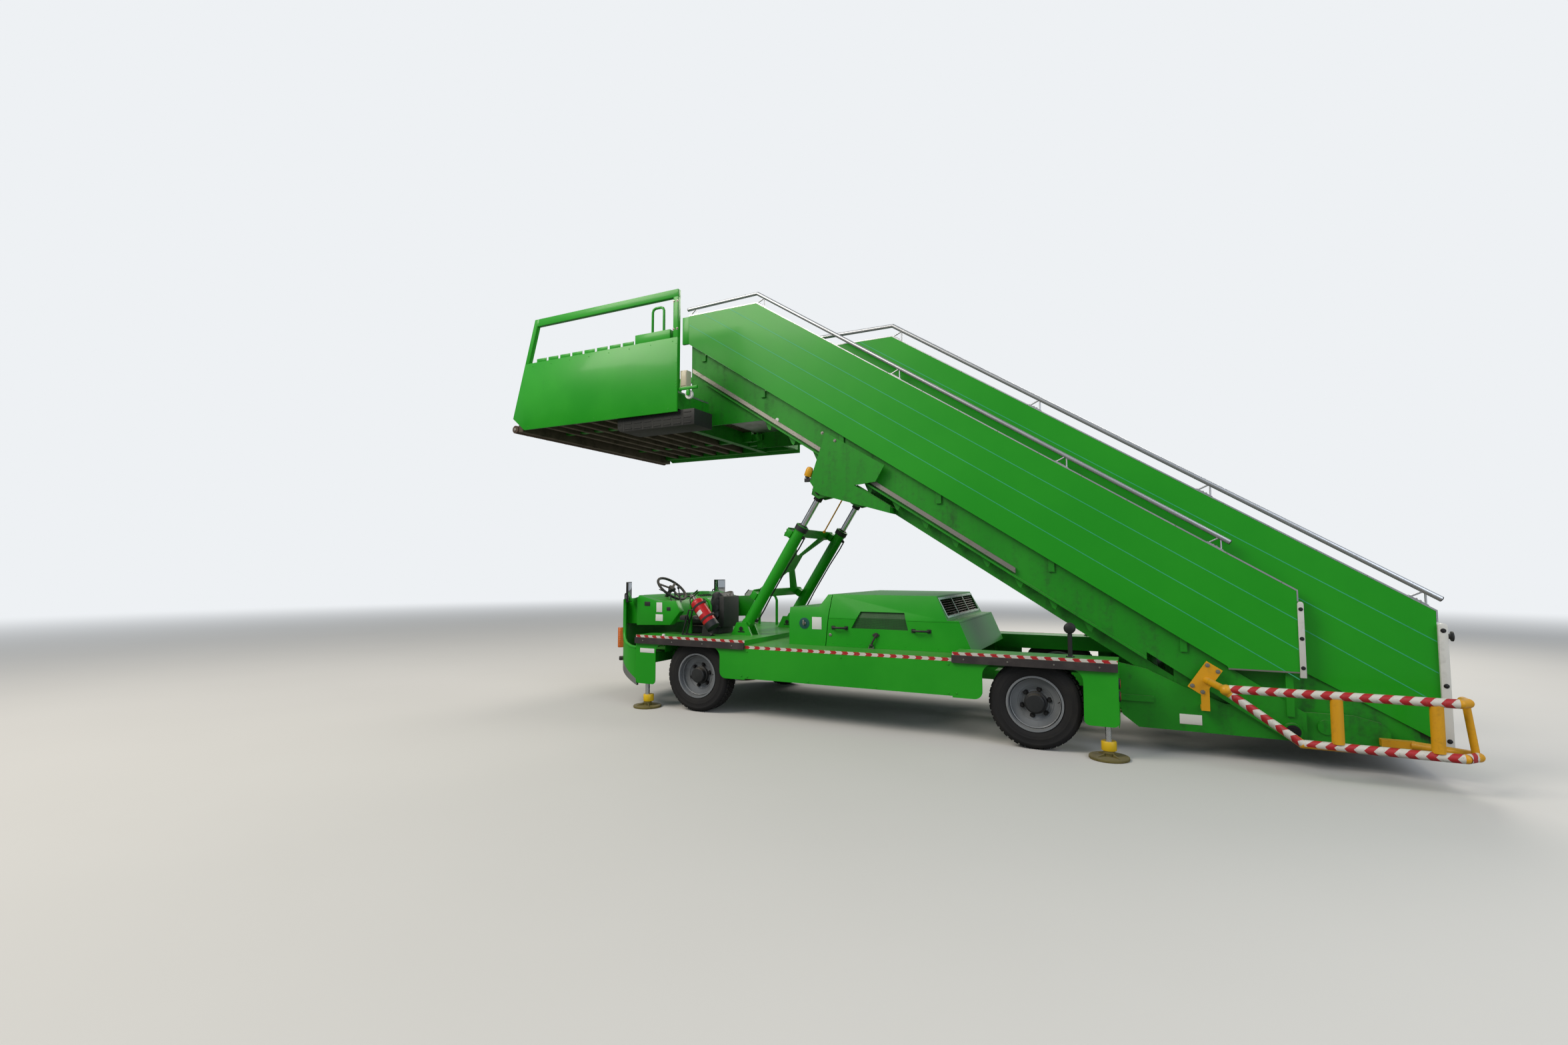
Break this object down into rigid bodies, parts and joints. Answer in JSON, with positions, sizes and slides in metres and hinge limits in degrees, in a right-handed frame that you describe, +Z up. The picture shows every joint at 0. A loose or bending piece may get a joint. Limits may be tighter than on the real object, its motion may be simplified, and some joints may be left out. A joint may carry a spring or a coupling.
{
  "type": "self-propelled mobile aircraft stairs",
  "caption": "Self-propelled passenger stairs for aircraft: green four-wheeled chassis, two telescopic flights, a wide levelled platform and twin lift cylinders.",
  "frame": {"origin": "Bottom centre of the bounding box, on the ground the tyres stand on", "axes": "+X towards the foot of the stairs (the rear), +Y the right-hand side of the machine, +Z up"},
  "size_m": [8.6764, 2.98, 4.586],
  "materials": {
    "green_paint": "gloss, faded by the sun",
    "dark_paint": "matt black",
    "rubber": "matt",
    "tyre": "matt",
    "rim_paint": "silver grey",
    "yellow_paint": "satin",
    "seat_cover": "vinyl",
    "red_paint": "gloss",
    "aluminium": "milled and worn",
    "white_paint": "satin",
    "chrome": "polished"
  },
  "bodies": {
    "chassis": {"chassis_frame": "green_paint", "tail_plates": "green_paint", "front_axle": "dark_paint", "rear_axle": "dark_paint", "skirts": "green_paint", "deck": "green_paint", "front_wall": "green_paint", "dashboard": "green_paint", "steering_wheel": "dark_paint", "driver_seat": "seat_cover", "mirrors": "dark_paint", "engine_cover": "green_paint", "engine_block": "dark_paint", "extinguisher": "red_paint", "rubber_strips": "rubber", "lamps": "dark_paint", "cab_rails": "green_paint", "cylinder_feet": "green_paint", "foot_guard": "yellow_paint"},
    "hood": {"hood_lid": "green_paint"},
    "knuckle_l": {"knuckle_left": "dark_paint"},
    "knuckle_r": {"knuckle_right": "dark_paint"},
    "wheel_fl": {"tyre_fl": "tyre", "rim_fl": "rim_paint"},
    "wheel_fr": {"tyre_fr": "tyre", "rim_fr": "rim_paint"},
    "wheel_rl": {"tyre_rl": "tyre", "rim_rl": "rim_paint"},
    "wheel_rr": {"tyre_rr": "tyre", "rim_rr": "rim_paint"},
    "stabiliser_fl": {"leg_fl": "yellow_paint"},
    "stabiliser_fr": {"leg_fr": "yellow_paint"},
    "stabiliser_rl": {"leg_rl": "yellow_paint"},
    "stabiliser_rr": {"leg_rr": "yellow_paint"},
    "lower_flight": {"lower_frame": "green_paint", "lower_steps": "aluminium", "lower_panels": "green_paint", "lower_rails": "aluminium", "lower_posts": "white_paint", "guide_box": "green_paint"},
    "barrels": {"lift_barrels": "green_paint", "barrel_brace": "green_paint"},
    "rods": {"lift_rods": "chrome"},
    "upper_flight": {"upper_stringers": "green_paint", "upper_steps": "aluminium", "upper_panels": "green_paint", "upper_rails": "aluminium", "upper_posts": "white_paint"},
    "platform": {"platform_frame": "green_paint", "platform_floor": "aluminium", "platform_sides": "green_paint", "platform_rails": "green_paint", "platform_bumper": "rubber"}
  },
  "joints": [
    {"name": "flight_lift", "type": "hinge", "parent": "chassis", "child": "lower_flight", "pos_m": [3.5318, 0, 0.33], "axis": [0, 1, 0], "range_deg": [-3.5, 6]},
    {"name": "flight_extend", "type": "slide", "parent": "lower_flight", "child": "upper_flight", "axis": [-0.8384, 0, 0.545], "range_m": [-0.08, 2.9]},
    {"name": "platform_level", "type": "hinge", "parent": "upper_flight", "child": "platform", "pos_m": [-2.2182, 0, 3.3], "axis": [0, 1, 0], "range_deg": [-6.5, 4]},
    {"name": "barrel_swing", "type": "hinge", "parent": "chassis", "child": "barrels", "pos_m": [-1.6612, 0, 0.86], "axis": [0, 1, 0], "range_deg": [-3, 3]},
    {"name": "rod_stroke", "type": "slide", "parent": "barrels", "child": "rods", "axis": [0.5358, 0, 0.8443], "range_m": [-0.33, 0.55]},
    {"name": "steer_left", "type": "hinge", "parent": "chassis", "child": "knuckle_l", "pos_m": [-1.9582, -0.8, 0.3835], "axis": [0, 0, 1], "range_deg": [-28, 28]},
    {"name": "steer_right", "type": "hinge", "parent": "chassis", "child": "knuckle_r", "pos_m": [-1.9582, 0.8, 0.3835], "axis": [0, 0, 1], "range_deg": [-28, 28]},
    {"name": "wheel_front_left", "type": "hinge", "parent": "knuckle_l", "child": "wheel_fl", "pos_m": [-1.9582, -0.9905, 0.3835], "axis": [0, 1, 0], "continuous": true},
    {"name": "wheel_front_right", "type": "hinge", "parent": "knuckle_r", "child": "wheel_fr", "pos_m": [-1.9582, 0.9905, 0.3835], "axis": [0, 1, 0], "continuous": true},
    {"name": "wheel_rear_left", "type": "hinge", "parent": "chassis", "child": "wheel_rl", "pos_m": [1.4768, -0.9905, 0.3835], "axis": [0, 1, 0], "continuous": true},
    {"name": "wheel_rear_right", "type": "hinge", "parent": "chassis", "child": "wheel_rr", "pos_m": [1.4768, 0.9905, 0.3835], "axis": [0, 1, 0], "continuous": true},
    {"name": "hood_open", "type": "hinge", "parent": "chassis", "child": "hood", "pos_m": [0.8008, 0, 1.027], "axis": [0, 1, 0], "range_deg": [0, 28]},
    {"name": "stabiliser_fl_lift", "type": "slide", "parent": "chassis", "child": "stabiliser_fl", "axis": [0, 0, 1], "range_m": [0, 0.2]},
    {"name": "stabiliser_fr_lift", "type": "slide", "parent": "chassis", "child": "stabiliser_fr", "axis": [0, 0, 1], "range_m": [0, 0.2]},
    {"name": "stabiliser_rl_lift", "type": "slide", "parent": "chassis", "child": "stabiliser_rl", "axis": [0, 0, 1], "range_m": [0, 0.2]},
    {"name": "stabiliser_rr_lift", "type": "slide", "parent": "chassis", "child": "stabiliser_rr", "axis": [0, 0, 1], "range_m": [0, 0.2]}
  ],
  "couplings": [
    {"joint": "platform_level", "follows": "flight_lift", "ratio": -1},
    {"joint": "barrel_swing", "follows": "flight_lift", "ratio": -0.235},
    {"joint": "rod_stroke", "follows": "flight_lift", "m_per_rad": 4.6696},
    {"joint": "steer_right", "follows": "steer_left", "ratio": 1}
  ]
}
